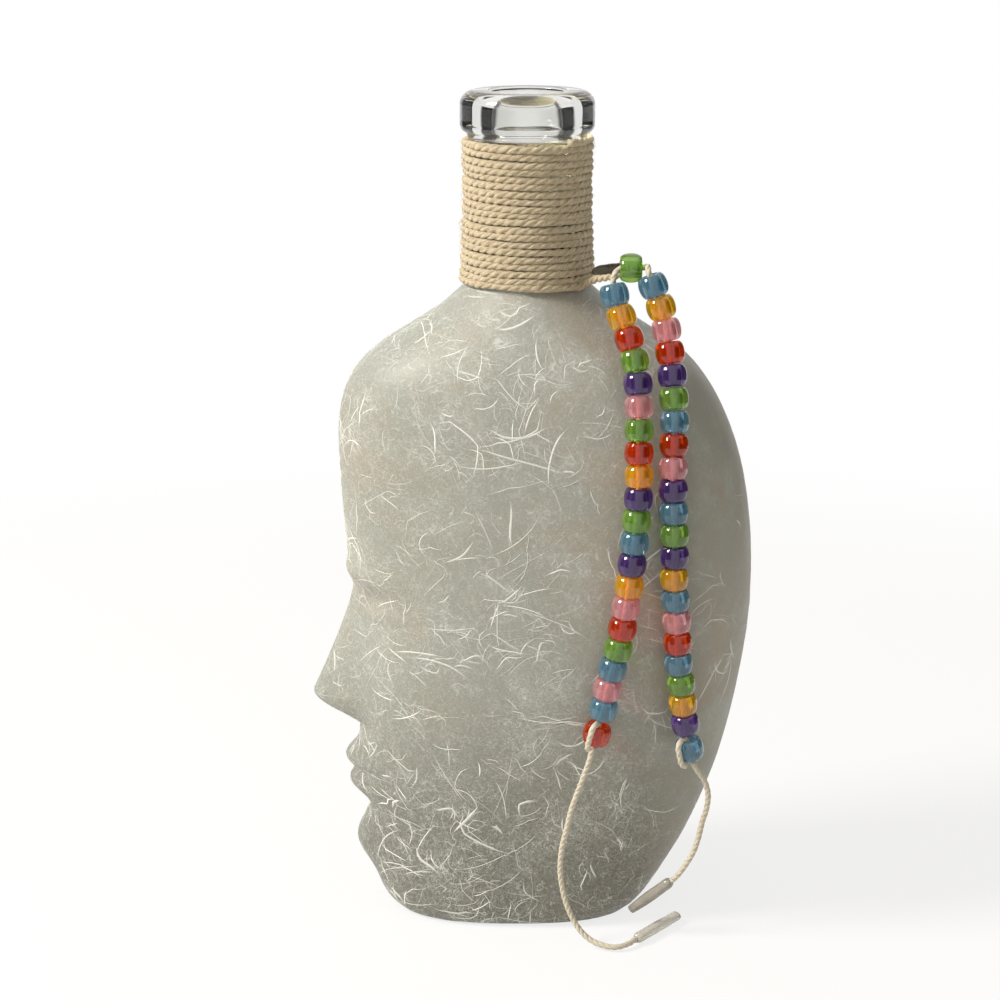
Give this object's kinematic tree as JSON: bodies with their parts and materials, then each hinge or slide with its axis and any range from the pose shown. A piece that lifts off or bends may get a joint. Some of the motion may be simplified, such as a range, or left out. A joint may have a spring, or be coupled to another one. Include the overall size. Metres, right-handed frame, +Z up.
{
  "type": "decorated message bottle",
  "caption": "Head-shaped glass bottle with a paper-covered body, a twine-wound neck and two hanging strands of beads on strings.",
  "frame": {"origin": "on the flat base, under the neck axis", "axes": "+Z up the neck axis and out of the mouth, -X towards the face, -Y towards the side with the beads"},
  "size_m": [0.127, 0.0812, 0.238],
  "materials": {
    "glass": "clear moulded glass, polished lip",
    "fibre_paper": "glued translucent paper with white fibres",
    "twine": "natural twisted twine",
    "string": "off-white twisted string",
    "tape": "clear tape over string",
    "glue": "hardened clear glue",
    "bead_red": "translucent moulded plastic",
    "bead_blue": "translucent moulded plastic",
    "bead_green": "translucent moulded plastic",
    "bead_amber": "translucent moulded plastic",
    "bead_purple": "translucent moulded plastic",
    "bead_pink": "translucent moulded plastic"
  },
  "bodies": {
    "bottle": {"glass_bottle": "glass", "paper_skin": "fibre_paper", "neck_twine": "twine"},
    "hanger": {"twine_tie": "twine", "glue_drop": "glue", "top_bead": "bead_green"},
    "left_strand": {"left_string": "string", "left_end_loop": "string", "left_bead_01": "bead_blue", "left_bead_02": "bead_amber", "left_bead_03": "bead_red", "left_bead_04": "bead_green", "left_bead_05": "bead_purple", "left_bead_06": "bead_pink", "left_bead_07": "bead_green", "left_bead_08": "bead_red", "left_bead_09": "bead_amber", "left_bead_10": "bead_purple", "left_bead_11": "bead_green", "left_bead_12": "bead_blue", "left_bead_13": "bead_purple", "left_bead_14": "bead_amber", "left_bead_15": "bead_pink", "left_bead_16": "bead_red", "left_bead_17": "bead_green", "left_bead_18": "bead_blue", "left_bead_19": "bead_pink", "left_bead_20": "bead_blue", "left_bead_21": "bead_red"},
    "right_strand": {"right_string": "string", "right_end_loop": "string", "right_bead_01": "bead_blue", "right_bead_02": "bead_amber", "right_bead_03": "bead_pink", "right_bead_04": "bead_red", "right_bead_05": "bead_purple", "right_bead_06": "bead_green", "right_bead_07": "bead_blue", "right_bead_08": "bead_red", "right_bead_09": "bead_pink", "right_bead_10": "bead_purple", "right_bead_11": "bead_blue", "right_bead_12": "bead_green", "right_bead_13": "bead_purple", "right_bead_14": "bead_amber", "right_bead_15": "bead_blue", "right_bead_16": "bead_pink", "right_bead_17": "bead_red", "right_bead_18": "bead_blue", "right_bead_19": "bead_green", "right_bead_20": "bead_amber", "right_bead_21": "bead_purple", "right_bead_22": "bead_blue"},
    "left_end": {"left_tail": "string", "left_tape_tip": "tape"},
    "right_end": {"right_tail": "string", "right_tape_tip": "tape"}
  },
  "joints": [
    {"name": "hanger_sway", "type": "hinge", "parent": "bottle", "child": "hanger", "pos_m": [0.0131, -0.0128, 0.1852], "axis": [0, -1, 0], "range_deg": [0, 14]},
    {"name": "left_strand_lift", "type": "hinge", "parent": "hanger", "child": "left_strand", "pos_m": [0.0276, -0.0284, 0.1932], "axis": [-1, 0, 0], "range_deg": [0, 75]},
    {"name": "right_strand_lift", "type": "hinge", "parent": "hanger", "child": "right_strand", "pos_m": [0.0276, -0.0284, 0.1932], "axis": [-1, 0, 0], "range_deg": [0, 75]},
    {"name": "left_end_swing", "type": "hinge", "parent": "left_strand", "child": "left_end", "pos_m": [0.0184, -0.0366, 0.0596], "axis": [0, -1, 0], "range_deg": [0, 30]},
    {"name": "right_end_lift", "type": "hinge", "parent": "right_strand", "child": "right_end", "pos_m": [0.0464, -0.0364, 0.0552], "axis": [-1, 0, 0], "range_deg": [0, 45]}
  ]
}
